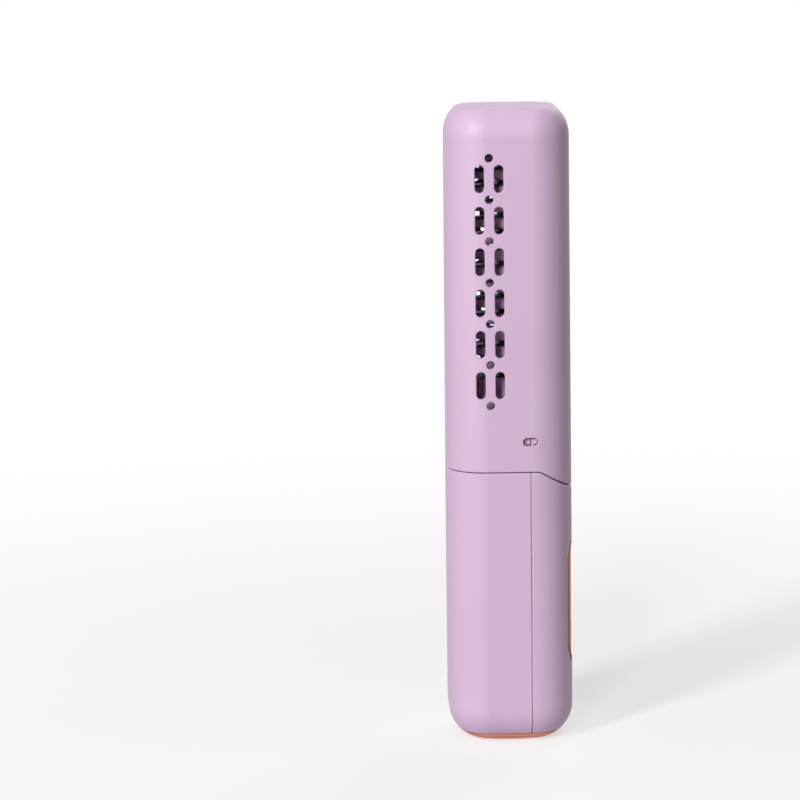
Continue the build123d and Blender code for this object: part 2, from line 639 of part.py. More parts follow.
def base_frame():
    """The inner floor that closes the shells and carries the charging port."""
    floor = case_form(WALL + LAP) & block(-FAR, FAR, -FAR, FAR, FRAME_LEVEL, FLOOR_TOP)
    floor = floor + upright(port_outline(DISH_WALL + 4 * LAP), DISH_FLOOR + LAP, FRAME_LEVEL + LAP)
    floor = floor - upright(port_outline(FIT), 0, HIGH)
    for side in (-1, 1):
        floor = floor - rod(SCREW_X, side * SCREW_Y, 0, SCREW_SHANK + 3 * LAP, HIGH)
    for x, y in peg_places():
        floor = floor - rod(x, y, 0, PEG_DIAMETER + LAP, HIGH)
    return floor


def cross_recess(half, wide):
    """Cross-shaped drive recess, centred on the origin."""
    bar = Box(2 * half, 2 * wide, 4, align=(Align.CENTER, Align.CENTER, Align.MAX))
    return bar + Rot(0, 0, 90) * bar


def base_screws():
    """Two pan-head screws that hold the base frame up to the shell."""
    screws = []
    for side in (-1, 1):
        y = side * SCREW_Y
        head = rod(SCREW_X, y, FRAME_LEVEL - SCREW_HEAD_TALL, SCREW_HEAD, SCREW_HEAD_TALL)
        head = fillet(head.edges().sort_by(Axis.Z)[0], 0.5)
        shank = rod(SCREW_X, y, FRAME_LEVEL, SCREW_SHANK, SCREW_LENGTH - 0.5)
        recess = Pos(SCREW_X, y, FRAME_LEVEL - SCREW_HEAD_TALL / 2) * cross_recess(0.9, 0.25)
        screws.append(head + shank - recess)
    return Compound(children=screws)


def charging_port():
    """USB-C receptacle that opens through the base."""
    shell = upright(port_outline(), PORT_RECESS, FLOOR_TOP)
    shell = shell - upright(port_outline(-0.3), PORT_RECESS - 1, FLOOR_TOP - 1.2)
    half = PORT_TONGUE / 2
    return shell + block(-0.35, 0.35, -half, half, PORT_RECESS + 1, FLOOR_TOP - 1)


def charging_board():
    """The small board on the base frame that the charging port is soldered to."""
    outline = RectangleRounded(CHARGE_BOARD_DEPTH, CHARGE_BOARD_WIDTH, 1.0)
    return upright(outline, FLOOR_TOP, FLOOR_TOP + CHARGE_BOARD)


def charging_ribbon():
    """The flat cable from the charging board up to the main board."""
    level = FLOOR_TOP + CHARGE_BOARD
    back = BOARD_FACE + RIBBON
    half = RIBBON_WIDTH / 2
    flat = block(1.0, back, -half, half, level, level + RIBBON)
    ribbon = flat + block(BOARD_FACE, back, -half, half, level, BOARD_BOTTOM + RIBBON_WIDTH * 0.75)
    corners = ribbon.edges().filter_by(Axis.Y).filter_by_position(Axis.X, back - FIT, back + FIT)
    return fillet(corners.sort_by(Axis.Z)[0], 0.9 * RIBBON)


# ---------------------------------------------------------------- battery and chassis
def battery_cell():
    """One round lithium cell with its crimped ends."""
    cell = rod(CELL_X, 0, CELL_BOTTOM, CELL_DIAMETER, CELL_LENGTH)
    return fillet(cell.edges().filter_by(GeomType.CIRCLE), 0.8)


def saddle(z):
    """A half ring of the chassis that the cell is pressed into."""
    bore = CELL_DIAMETER + 2 * SADDLE_CLEAR
    ring = rod(CELL_X, 0, z, bore + 2 * SADDLE_WALL, SADDLE_TALL) - rod(CELL_X, 0, z, bore, SADDLE_TALL)
    return ring & block(CELL_X - SADDLE_WRAP, CHASSIS_BACK, -FAR, FAR, z, z + SADDLE_TALL)


def chassis():
    """The frame that cradles the cell on one face and carries the board on the other."""
    wide = CASE_WIDTH / 2 - WALL - CHASSIS_CLEAR
    slim = NECK_WIDTH / 2 - WALL - CHASSIS_CLEAR - LAP
    frame = block(CHASSIS_X, CHASSIS_BACK, -wide, wide, WIDE_BOTTOM, WIDE_TOP)
    frame = frame + block(CHASSIS_X, CHASSIS_BACK, -slim, slim, CELL_BOTTOM - LEDGE, BOARD_TOP) + cell_stops()
    low, high = CELL_BOTTOM + SADDLE_LOW, CELL_TOP - SADDLE_HIGH
    for z in (low, (low + high) / 2, high):
        frame = frame + saddle(z)
    for z in BOARD_SCREWS:
        frame = frame + rod(CHASSIS_BACK, 0, z, 5.0, BOARD_LIFT, (1, 0, 0))
        frame = frame - rod(CHASSIS_X - 1, 0, z, BOARD_SCREW + LAP, 5, (1, 0, 0))
    for side in (-1, 1):
        frame = frame - lead_passage(side * LEAD_Y, LEAD_TOP - WIRE, LEAD_TOP + WIRE)
    return frame - lead_passage(-LEAD_LOW_Y, 0, LEAD_LOW + WIRE)


def cell_stops():
    """Tongues of the chassis under and over the cell."""
    x0 = CELL_X - 3
    over = CELL_TOP + STOP_CLEAR
    stops = block(x0, CHASSIS_BACK, -3, 3, over, over + STOP_THICK)
    for side in (-1, 1):
        y0, y1 = sorted((side * 3.0, side * 5.4))
        under = CELL_BOTTOM - LAP
        stops = stops + block(x0, CHASSIS_BACK, y0, y1, under - STOP_THICK, under)
    return stops


def lead_passage(y, z0, z1):
    """The cut in the chassis that a battery lead passes through."""
    return block(CHASSIS_X - 1, CHASSIS_BACK + 1, y - WIRE, y + WIRE, z0, z1)


def battery_tabs():
    """Nickel strips welded to the two ends of the cell."""
    under = CELL_BOTTOM - NICKEL
    low = block(CELL_X - 6, CELL_X - 3.2, -LEAD_LOW_Y - 0.8, 2, under, CELL_BOTTOM)
    low = low + block(CELL_X - 6, CELL_X + 2.5, -2, 2, under, CELL_BOTTOM)
    high = block(CELL_X - 3, CELL_X + 5.6, -2.6, LEAD_TAB_Y + 0.8, CELL_TOP, CELL_TOP + NICKEL)
    return Compound(children=[low, high])


def battery_leads():
    """The positive lead over the chassis and the negative lead under it, each to the board."""
    start = CELL_X + CELL_DIAMETER / 4
    high = [(start, LEAD_TAB_Y, CELL_TOP + NICKEL + WIRE / 2 + FIT), (start, LEAD_Y, LEAD_TOP)]
    high.append((BOARD_X, LEAD_Y, LEAD_TOP))
    edge = BOARD_X + BOARD_THICK / 2
    low = [(CELL_X - CELL_DIAMETER / 4, -LEAD_LOW_Y, LEAD_LOW), (edge, -LEAD_LOW_Y, LEAD_LOW)]
    low.append((edge, -LEAD_LOW_Y, BOARD_BOTTOM))
    return Compound(children=[wire_run(high, 1.6), wire_run(low, 1.6)])


# ---------------------------------------------------------------- board
def control_board():
    """The main circuit board behind both keys."""
    half = BOARD_WIDTH / 2
    board = block(BOARD_X, BOARD_FACE, -half, half, BOARD_BOTTOM, BOARD_TOP)
    board = fillet(board.edges().filter_by(Axis.X), 1.5)
    for z in BOARD_SCREWS:
        board = board - rod(BOARD_X - 1, 0, z, BOARD_SCREW + 2 * LAP, 4, (1, 0, 0))
    return board


def chip(y, z, wide, tall, thick):
    """A flat part soldered to the board."""
    return block(BOARD_FACE, BOARD_FACE + thick, y - wide / 2, y + wide / 2, z - tall / 2, z + tall / 2)


def board_chips():
    """The larger parts soldered to the board: controller, charger, coil, drivers and capacitors."""
    level = POWER_HEIGHT - 16.5
    parts = [chip(4.6, level, 5.0, 4.0, 1.1), chip(-4.8, level, 4.4, 5.0, 0.9)]
    parts.append(rod(BOARD_FACE, 0, level, 4.2, 2.4, (1, 0, 0)))
    for side in (-1, 1):
        parts.append(chip(side * 6.0, MODE_HEIGHT + 7.1, 3.0, 6.0, 1.0))
        parts.append(chip(side * 5.5, BOARD_BOTTOM + 5.0, 3.0, 2.6, 1.4))
    return Compound(children=parts)


def board_screws():
    """Two small screws that hold the board to the chassis."""
    screws = []
    start = CHASSIS_X + LAP
    for z in BOARD_SCREWS:
        head = rod(BOARD_FACE, 0, z, BOARD_SCREW_HEAD, 0.9, (1, 0, 0))
        head = fillet(head.edges().sort_by(Axis.X)[-1], 0.4)
        shank = rod(start, 0, z, BOARD_SCREW, BOARD_FACE - start, (1, 0, 0))
        slot = block(BOARD_FACE + 0.5, BOARD_FACE + 2, -FAR, FAR, z - 0.2, z + 0.2)
        screws.append(head + shank - slot)
    return Compound(children=screws)


def light_bores():
    """Holes for the light pipes."""
    return [rod(BOARD_FACE, 0, z, LIGHT_DIAMETER + LAP, FAR, (1, 0, 0)) for z in LIGHT_LEVELS]


def indicator_leds():
    """Surface-mount lamps under the light pipes."""
    lamps = [block(BOARD_FACE, BOARD_FACE + LAMP_TALL, -1, 1, z - 0.7, z + 0.7) for z in LIGHT_LEVELS]
    return Compound(children=lamps)


def indicator_pipes():
    """Clear pipes that carry the lamps' light to the panel."""
    start = BOARD_FACE + LAMP_TALL + LAP
    end = CASE_DEPTH / 2 - PANEL_RECESS + LAP
    pipes = []
    for z in LIGHT_LEVELS:
        pipe = rod(start, 0, z, LIGHT_DIAMETER, end - start, (1, 0, 0))
        pipes.append(fillet(pipe.edges().sort_by(Axis.X)[-1], 0.3))
    return Compound(children=pipes)


# ---------------------------------------------------------------- panel and keys
def panel_prism(grow=0.0):
    """The panel's rounded outline carried out through the thumb-side wall."""
    outline = RectangleRounded(PANEL_WIDTH + 2 * grow, PANEL_TALL + 2 * grow, PANEL_CORNER + grow)
    return inward(Pos(0, PANEL_BOTTOM + PANEL_TALL / 2) * outline, SEAM_X + 1, FAR)


def wall_layer(outer, inner):
    """A skin of the casing between two depths."""
    return case_form(outer) - case_form(inner)


def mode_bore():
    """The hole for the round key."""
    return inward(Pos(0, MODE_HEIGHT) * Circle(MODE_DIAMETER / 2 + BUTTON_CLEAR), SWITCH_FACE, FAR)


def skin_x(y):
    """Where the casing's thumb side lies at y."""
    past_flat = max(abs(y) - (CASE_WIDTH / 2 - CASE_CORNER), 0.0)
    return CASE_DEPTH / 2 - CASE_CORNER + sqrt(CASE_CORNER**2 - past_flat**2)


def panel_frame():
    """The bright rim that follows the casing round the panel, with a bevel on its outer edge."""
    plate = panel_prism() & wall_layer(0.0, PANEL_DEPTH)
    outline = []
    for edge in plate.edges():
        on_skin = all(abs(v.X - skin_x(v.Y)) < FIT for v in edge.vertices())
        upright_line = edge.geom_type == GeomType.LINE and abs((edge % 0).Z) > 0.9
        inside = abs(edge.center().Y) < PANEL_WIDTH / 2 - FIT
        if on_skin and not (upright_line and inside):
            outline.append(edge)
    return chamfer(outline, PANEL_BEVEL) - panel_prism(-PANEL_RIM)


def panel_plate():
    """The face inside the rim, with holes for the key and the lights."""
    plate = panel_prism(-PANEL_RIM - FIT) & wall_layer(PANEL_RECESS, PANEL_DEPTH)
    return plate - mode_bore() - light_bores()


def mode_button():
    """The round key in the panel that steps through the heat settings."""
    face = CASE_DEPTH / 2 - PANEL_RECESS + BUTTON_PROUD
    inner = CASE_DEPTH / 2 - WALL - LAP
    key = rod(inner, 0, MODE_HEIGHT, MODE_DIAMETER, face - inner, (1, 0, 0))
    key = fillet(key.edges().sort_by(Axis.X)[-1], 0.3)
    key = key - Pos(face + DISH_RADIUS - DISH_DEEP, 0, MODE_HEIGHT) * Sphere(DISH_RADIUS)
    rim = MODE_DIAMETER + 2 * FLANGE_RIM
    flange = rod(inner - FLANGE_THICK, 0, MODE_HEIGHT, rim, FLANGE_THICK, (1, 0, 0))
    start = SWITCH_FACE + PLUNGER_SHOWS
    return key + flange + rod(start, 0, MODE_HEIGHT, STEM_DIAMETER, inner - start, (1, 0, 0))


def power_oval(grow=0.0):
    """The outline of the power key carried out through the thumb-side wall."""
    outline = Ellipse(POWER_WIDTH / 2 + grow, POWER_TALL / 2 + grow)
    return inward(Pos(0, POWER_HEIGHT) * outline, SEAM_X + 1, FAR)


def power_button():
    """The wide oval key on the neck, which the closed cap covers."""
    under = WALL + LAP
    key = power_oval() & (neck_form() - neck_form(under))
    flange = power_oval(FLANGE_RIM) & (neck_form(under) - neck_form(under + FLANGE_THICK))
    start = SWITCH_FACE + PLUNGER_SHOWS
    stem = rod(start, 0, POWER_HEIGHT, STEM_DIAMETER, NECK_DEPTH / 2 - WALL - start, (1, 0, 0))
    return key + flange + stem


def power_bezel():
    """The bright ring round the power key."""
    ring = power_oval(BEZEL_RIM + BUTTON_CLEAR) - power_oval(BUTTON_CLEAR)
    return ring & (neck_form() - neck_form(BEZEL_DEPTH))


def tact_switch(z):
    """A board-mounted push switch with a blind bore for its plunger."""
    half = SWITCH_SIZE / 2
    body = block(BOARD_FACE, SWITCH_FACE, -half, half, z - half, z + half)
    body = chamfer(body.edges().filter_by(Axis.X), 0.5)
    return body - rod(BOARD_FACE + 0.5, 0, z, PLUNGER_DIAMETER + 2 * LAP, FAR, (1, 0, 0))


def switch_plunger(z):
    """The moving core of a push switch, which travels with its key."""
    start = BOARD_FACE + 0.5 + BUTTON_TRAVEL + 0.2
    return rod(start, 0, z, PLUNGER_DIAMETER, SWITCH_FACE + PLUNGER_SHOWS - start, (1, 0, 0))


# ---------------------------------------------------------------- heater
def heater_comb():
    """The black aluminium comb whose fins run inside the plastic teeth."""
    wall = TOOTH_WALL + HEATER_CLEAR
    front, back = TIP_SOLID_X + HEATER_CLEAR, HEATER_BACK_X
    corners = [(x, side * head_half(x, wall)) for x, side in ((front, -1), (back, -1), (back, 1), (front, 1))]
    plan = make_face(Polyline(*corners, close=True))
    comb = upright(plan, HEATER_BOTTOM + HEATER_CLEAR, HEATER_TOP - HEATER_CLEAR)
    root_round, tip_round = GAP_ROOT / 2 - HEATER_PROUD, TOOTH_TIP + HEATER_PROUD
    return comb - comb_tool(HEATER_ROOT_X, root_round, tip_round, HEATER_BLOCK_FLARE, TOP_BLOCK_FLARE)


def ceramic_heater():
    """The flat ceramic element pressed against the comb's back."""
    half = CERAMIC_WIDTH / 2
    plate = block(CERAMIC_X, CERAMIC_X + CERAMIC_THICK, -half, half, CERAMIC_BOTTOM, CERAMIC_TOP)
    return fillet(plate.edges().filter_by(Axis.X), 0.6)


def heater_clip():
    """The spring plate that holds the ceramic element down."""
    half = CLIP_WIDTH / 2
    plate = block(CLIP_X, CLIP_BACK, -half, half, CLIP_BOTTOM, CLIP_TOP)
    for side in (-1, 1):
        y0, y1 = sorted((side * (half - CLIP_LEG), side * half))
        plate = plate + block(CERAMIC_X, CLIP_X, y0, y1, CLIP_BOTTOM + 1, CLIP_TOP - 4)
    slot = SlotOverall(CLIP_SLOT_LENGTH, CLIP_SLOT_WIDTH)
    for z in (CLIP_BOTTOM + 11, FUSE_HEIGHT + 9, CLIP_TOP - 14):
        plate = plate - inward(Pos(0, z) * slot, CLIP_X - 1, CLIP_BACK + 1)
    return plate


def heat_sensor():
    """Glass-bead thermistor against the lower end of the comb."""
    return rod(CERAMIC_X + SENSOR_DIAMETER / 2, 0, SENSOR_BOTTOM, SENSOR_DIAMETER, SENSOR_LENGTH)


def sensor_leads():
    """Two fine wires from the sensor down to the top edge of the board."""
    x = CERAMIC_X + SENSOR_DIAMETER / 2
    edge = BOARD_X + BOARD_THICK / 2
    runs = []
    for side in (-1, 1):
        y = side * SENSOR_LEAD_GAP / 2
        points = [(x, y, SENSOR_BOTTOM), (x, y, HEAD_BOTTOM - 3), (edge, y, NECK_TOP + 1.6)]
        points.append((edge, y, BOARD_TOP))
        runs.append(wire_run(points, 1.5, FINE_WIRE))
    return Compound(children=runs)


def thermal_fuse():
    """One-shot fuse that lies on the clip, with its two stub leads."""
    x = CLIP_BACK + LAP + FUSE_DIAMETER / 2
    low = FUSE_HEIGHT - FUSE_LENGTH / 2
    fuse = rod(x, 0, low, FUSE_DIAMETER, FUSE_LENGTH)
    fuse = fillet(fuse.edges().filter_by(GeomType.CIRCLE), 0.5)
    return fuse + rod(x, 0, low - FUSE_STUB, FINE_WIRE, FUSE_LENGTH + 2 * FUSE_STUB)


def heater_leads():
    """Two insulated wires from the ceramic element down to the board's face."""
    x = CERAMIC_X + WIRE / 2 + 1.5 * LAP
    down = BOARD_FACE + WIRE / 2
    leads = []
    for side in (-1, 1):
        y, foot = side * 1.8, side * 3.8
        points = [(x, y, CERAMIC_BOTTOM), (x, y, HEAD_BOTTOM - 3), (down, foot, NECK_TOP - 0.7 * WALL)]
        points.append((down, foot, BOARD_TOP - 2.6))
        leads.append(wire_run(points, 2.0))
    return Compound(children=leads)


# ---------------------------------------------------------------- assembly
def build_all():
    """Every sub-part by name."""
    outside = handle_form()
    groove = seam_groove()
    hollow = outside - below(BASE_SPLIT) - handle_cavity()
    return {
        "front_shell": front_shell(hollow, groove),
        "back_shell": back_shell(hollow, groove),
        "cap_shell": cap_shell(),
        "base_plate": base_plate(),
        "base_frame": base_frame(),
        "base_screws": base_screws(),
        "charging_port": charging_port(),
        "charging_board": charging_board(),
        "charging_ribbon": charging_ribbon(),
        "battery_cell": battery_cell(),
        "battery_tabs": battery_tabs(),
        "battery_leads": battery_leads(),
        "chassis": chassis(),
        "control_board": control_board(),
        "board_chips": board_chips(),
        "board_screws": board_screws(),
        "indicator_leds": indicator_leds(),
        "indicator_pipes": indicator_pipes(),
        "panel_frame": panel_frame(),
        "panel_plate": panel_plate(),
        "mode_button": mode_button(),
        "mode_switch": tact_switch(MODE_HEIGHT),
        "mode_plunger": switch_plunger(MODE_HEIGHT),
        "power_button": power_button(),
        "power_bezel": power_bezel(),
        "power_switch": tact_switch(POWER_HEIGHT),
        "power_plunger": switch_plunger(POWER_HEIGHT),
        "heater_comb": heater_comb(),
        "ceramic_heater": ceramic_heater(),
        "heater_clip": heater_clip(),
        "heat_sensor": heat_sensor(),
        "sensor_leads": sensor_leads(),
        "thermal_fuse": thermal_fuse(),
        "heater_leads": heater_leads(),
    }


os.makedirs("parts", exist_ok=True)
for name, shape in build_all().items():
    export_step(shape, f"parts/{name}.step")
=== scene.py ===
"""Looks of the cordless hot comb: studio, camera and a procedural material for every piece.

The CAD nodes carry the shapes, apart from the crown of the cap, which is made here. Everything
is in metres, in the CAD frame: +Z up, the teeth towards -X, the thumb side towards +X and the
near flank towards -Y.
"""
import json
import math

import bpy
from mathutils import Matrix, Vector


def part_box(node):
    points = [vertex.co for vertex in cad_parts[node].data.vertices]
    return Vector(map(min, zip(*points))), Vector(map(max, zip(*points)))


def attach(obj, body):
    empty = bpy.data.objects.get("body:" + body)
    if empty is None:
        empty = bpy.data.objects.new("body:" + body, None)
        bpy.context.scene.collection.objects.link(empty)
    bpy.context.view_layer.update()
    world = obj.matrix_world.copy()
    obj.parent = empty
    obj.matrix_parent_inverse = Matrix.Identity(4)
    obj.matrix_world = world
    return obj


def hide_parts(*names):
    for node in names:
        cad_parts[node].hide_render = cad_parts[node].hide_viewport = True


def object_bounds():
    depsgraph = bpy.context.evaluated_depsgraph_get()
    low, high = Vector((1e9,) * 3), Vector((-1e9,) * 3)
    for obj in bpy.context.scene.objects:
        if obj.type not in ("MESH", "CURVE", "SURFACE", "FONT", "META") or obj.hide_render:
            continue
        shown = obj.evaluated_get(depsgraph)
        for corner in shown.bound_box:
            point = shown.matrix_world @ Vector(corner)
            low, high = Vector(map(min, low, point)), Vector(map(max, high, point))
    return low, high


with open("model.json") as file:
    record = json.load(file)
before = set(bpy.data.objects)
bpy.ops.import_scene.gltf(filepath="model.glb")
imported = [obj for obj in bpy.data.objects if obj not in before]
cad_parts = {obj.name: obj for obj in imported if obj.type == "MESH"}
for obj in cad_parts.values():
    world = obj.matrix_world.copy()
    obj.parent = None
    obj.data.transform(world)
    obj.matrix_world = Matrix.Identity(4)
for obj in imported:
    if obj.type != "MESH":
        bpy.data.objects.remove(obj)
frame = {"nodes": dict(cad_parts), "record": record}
cad_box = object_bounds()

# ---- camera: where the photograph was taken from, relative to the object ----
CAMERA_SIDE = -0.0293      # left of the object's axis
CAMERA_BACK = -0.900       # in front of it
CAMERA_HEIGHT = 0.246
CAMERA_PITCH = 9.646       # degrees below the horizon
CAMERA_ORBIT = -1.0        # degrees round the object, towards the teeth
CAMERA_ROLL = -0.74        # degrees
CAMERA_LENS = 150.55       # mm
CAMERA_SENSOR = 36.0       # mm

# ---- colours, linear. EDGE is the tint of a metal where it is seen at a glancing angle ----
LILAC = (0.600, 0.424, 0.594)
LILAC_DEEP = (0.582, 0.408, 0.577)
ROSE_GOLD = (0.800, 0.430, 0.300)
ROSE_GOLD_DEEP = (0.680, 0.330, 0.220)
ROSE_GOLD_EDGE = (0.600, 0.400, 0.320)
# The polished rim's colour and edge tint are darkened below rose gold's own: painted dark reflection
# of the surroundings.
RIM_GOLD_PAINTED_DARK_REFLECTION = (0.280, 0.185, 0.145)
RIM_EDGE_PAINTED_DARK_REFLECTION = (0.400, 0.300, 0.245)
WHITE = (1.0, 1.0, 1.0)

# ---- surfaces: scales of noise per metre, depths of bumps in metres ----
MOULDED_CLOUD = 38.0
MOULDED_SHEEN = 90.0                # patches of more and of less gloss
MOULDED_GRAIN = 2600.0              # spark-eroded grain of the mould
MOULDED_DEPTH = 0.000012
BRUSHED_STREAKS = 4200.0
BRUSHED_STRETCH = (1.0, 1.0, 0.02)  # which draws the streaks out along the height
BRUSHED_DEPTH = 0.000006
GLAZED_CLOUD = 260.0
GLAZED_SHEEN = 156.0
GLAZED_RIPPLE = 780.0
GLAZED_DEPTH = 0.00001
CLEAR_CLOUD = 500.0
CLEAR_SHEEN = 300.0


# ---------------------------------------------------------------- node helpers
def colour4(rgb):
    """The colour with full opacity."""
    return (*rgb, 1.0)


def darker(colour, share=0.82):
    """The colour at a share of its brightness."""
    return tuple(share * c for c in colour)


class Nodes:
    """A short way to build a material's node tree."""

    def __init__(self, name):
        self.material = bpy.data.materials.new(name)
        self.material.use_nodes = True
        self.tree = self.material.node_tree
        self.tree.nodes.clear()
        self.output = self.add("ShaderNodeOutputMaterial")

    def add(self, kind, **settings):
        """A new node with these settings."""
        node = self.tree.nodes.new(kind)
        for key, value in settings.items():
            setattr(node, key, value)
        return node

    def link(self, source, target):
        """Joins an output to an input."""
        self.tree.links.new(source, target)

    def coordinates(self, stretch=(1.0, 1.0, 1.0)):
        """Object coordinates in metres, times a factor along each axis."""
        where = self.add("ShaderNodeTexCoord")
        mapping = self.add("ShaderNodeMapping")
        mapping.inputs["Scale"].default_value = stretch
        self.link(where.outputs["Object"], mapping.inputs["Vector"])
        return mapping.outputs["Vector"]

    def noise(self, scale, detail=3.0, roughness=0.5, stretch=(1.0, 1.0, 1.0)):
        """A cloudy pattern between 0 and 1, with its scale per metre."""
        node = self.add("ShaderNodeTexNoise")
        node.inputs["Scale"].default_value = scale
        node.inputs["Detail"].default_value = detail
        node.inputs["Roughness"].default_value = roughness
        self.link(self.coordinates(stretch), node.inputs["Vector"])
        return node.outputs["Fac"]

    def ramp(self, factor, low, high, start=0.3, end=0.7):
        """Goes from the low colour to the high one while the factor goes from start to end."""
        node = self.add("ShaderNodeValToRGB")
        node.color_ramp.elements[0].position = start
        node.color_ramp.elements[0].color = colour4(low)
        node.color_ramp.elements[1].position = end
        node.color_ramp.elements[1].color = colour4(high)
        self.link(factor, node.inputs["Fac"])
        return node.outputs["Color"]

    def remap(self, factor, low, high):
        """Goes from low to high while the factor goes from 0 to 1."""
        node = self.add("ShaderNodeMapRange")
        node.inputs["To Min"].default_value = low
        node.inputs["To Max"].default_value = high
        self.link(factor, node.inputs["Value"])
        return node.outputs["Result"]

    def bump(self, height, depth):
        """Normals of a surface that the height raises by up to the depth."""
        node = self.add("ShaderNodeBump")
        node.inputs["Distance"].default_value = depth
        self.link(height, node.inputs["Height"])
        return node.outputs["Normal"]

    def principled(self, **values):
        """The shader of the material, with these values at its inputs."""
        node = self.add("ShaderNodeBsdfPrincipled")
        for key, value in values.items():
            node.inputs[key.replace("_", " ")].default_value = value
        self.link(node.outputs["BSDF"], self.output.inputs["Surface"])
        return node


# ---------------------------------------------------------------- materials
def moulded_plastic(name, colour, deep=None, rough=(0.48, 0.56), coat=0.0):
    """Moulded plastic: an even colour with faint clouding, and a fine spark-eroded grain."""
    n = Nodes(name)
    shader = n.principled(IOR=1.5, Coat_Weight=coat, Coat_Roughness=0.42)
    cloud = n.noise(MOULDED_CLOUD, detail=4.0)
    tone = n.ramp(cloud, deep or darker(colour), colour, start=0.28, end=0.55)
    n.link(tone, shader.inputs["Base Color"])
    n.link(n.remap(n.noise(MOULDED_SHEEN), *rough), shader.inputs["Roughness"])
    grain = n.noise(MOULDED_GRAIN, detail=2.0, roughness=0.6)
    n.link(n.bump(grain, MOULDED_DEPTH), shader.inputs["Normal"])
    return n.material


def brushed_metal(name, colour, deep=None, rough=(0.22, 0.32), edge=WHITE):
    """Metal with a fine grain, brushed along the height, and its own tint at a glancing look."""
    n = Nodes(name)
    shader = n.principled(Metallic=1.0, IOR=1.5, Specular_Tint=colour4(edge))
    streaks = n.noise(BRUSHED_STREAKS, roughness=0.6, stretch=BRUSHED_STRETCH)
    tone = n.ramp(streaks, deep or darker(colour), colour, end=0.55)
    n.link(tone, shader.inputs["Base Color"])
    n.link(n.remap(streaks, *rough), shader.inputs["Roughness"])
    n.link(n.bump(streaks, BRUSHED_DEPTH), shader.inputs["Normal"])
    return n.material


def glazed(name, colour, rough=(0.2, 0.35)):
    """A hard, slightly glossy skin such as a glaze, a lacquer or a shrink wrap."""
    n = Nodes(name)
    shader = n.principled(IOR=1.52, Coat_Weight=0.3, Coat_Roughness=0.12)
    tone = n.ramp(n.noise(GLAZED_CLOUD, detail=4.0), darker(colour), colour)
    n.link(tone, shader.inputs["Base Color"])
    n.link(n.remap(n.noise(GLAZED_SHEEN, detail=2.0), *rough), shader.inputs["Roughness"])
    n.link(n.bump(n.noise(GLAZED_RIPPLE, detail=2.0), GLAZED_DEPTH), shader.inputs["Normal"])
    return n.material


def clear_moulding(name, tint, deep, rough=(0.08, 0.16), clear=0.85):
    """Clear or milky plastic or glass with a faint cloud in it."""
    n = Nodes(name)
    shader = n.principled(IOR=1.49, Transmission_Weight=clear)
    n.link(n.ramp(n.noise(CLEAR_CLOUD, detail=2.0), deep, tint), shader.inputs["Base Color"])
    n.link(n.remap(n.noise(CLEAR_SHEEN, detail=2.0), *rough), shader.inputs["Roughness"])
    return n.material


def finishes():
    """One material for each material slot of the record."""
    return {
        "shell_lilac": moulded_plastic("lilac_satin", LILAC, LILAC_DEEP, coat=0.15),
        "rose_gold": brushed_metal(
            "rose_gold_satin", ROSE_GOLD, ROSE_GOLD_DEEP, (0.24, 0.34), ROSE_GOLD_EDGE),
        # painted dark reflection: the polished rim's rose gold is given a darkened colour and edge
        # tint
        "bright_rim": brushed_metal(
            "rose_gold_polished_painted_dark_reflection", RIM_GOLD_PAINTED_DARK_REFLECTION, darker(RIM_GOLD_PAINTED_DARK_REFLECTION, 0.9), (0.08, 0.14), RIM_EDGE_PAINTED_DARK_REFLECTION),
        "black_anodised": brushed_metal("black_anodised", (0.030, 0.030, 0.033), rough=(0.35, 0.5)),
        "dark_plastic": moulded_plastic("black_nylon", (0.020, 0.020, 0.022), rough=(0.45, 0.6)),
        "chip_black": glazed("chip_epoxy", (0.018, 0.018, 0.018), rough=(0.35, 0.5)),
        "board_green": glazed("solder_mask", (0.020, 0.140, 0.060)),
        "ribbon_amber": glazed("polyimide", (0.600, 0.280, 0.040)),
        "cell_wrap": glazed("cell_wrap", (0.030, 0.220, 0.400)),
        "nickel": brushed_metal("nickel_strip", (0.600, 0.580, 0.540)),
        "wire_red": moulded_plastic("wire_red", (0.500, 0.020, 0.020)),
        "wire_white": moulded_plastic("wire_white", (0.750, 0.740, 0.700)),
        "wire_black": moulded_plastic("wire_black", (0.020, 0.020, 0.020)),
        "screw_steel": brushed_metal("zinc_screw", (0.450, 0.450, 0.460)),
        "port_steel": brushed_metal("port_shell", (0.600, 0.600, 0.620), rough=(0.16, 0.26)),
        "spring_steel": brushed_metal("spring_steel", (0.550, 0.550, 0.560)),
        "lamp_white": glazed("lamp_phosphor", (0.850, 0.820, 0.600)),
        "light_pipe": clear_moulding(
            "light_pipe", (0.920, 0.920, 0.900), (0.860, 0.860, 0.850), (0.2, 0.3), clear=0.3),
        "plunger_plastic": moulded_plastic("natural_nylon", (0.700, 0.680, 0.620)),
        "ceramic_white": glazed("alumina", (0.850, 0.840, 0.800)),
        "sensor_glass": clear_moulding("sensor_glass", (0.550, 0.250, 0.080), (0.400, 0.160, 0.050)),
        "fuse_metal": brushed_metal("fuse_can", (0.620, 0.600, 0.560)),
    }


def dress_nodes():
    """Gives each CAD node the finish of its material slot."""
    finish = finishes()
    slot_of = {part["node"]: part["material_slot"] for part in frame["record"]["subparts"]}
    for name, node in frame["nodes"].items():
        node.data.materials.clear()
        node.data.materials.append(finish[slot_of[name]])


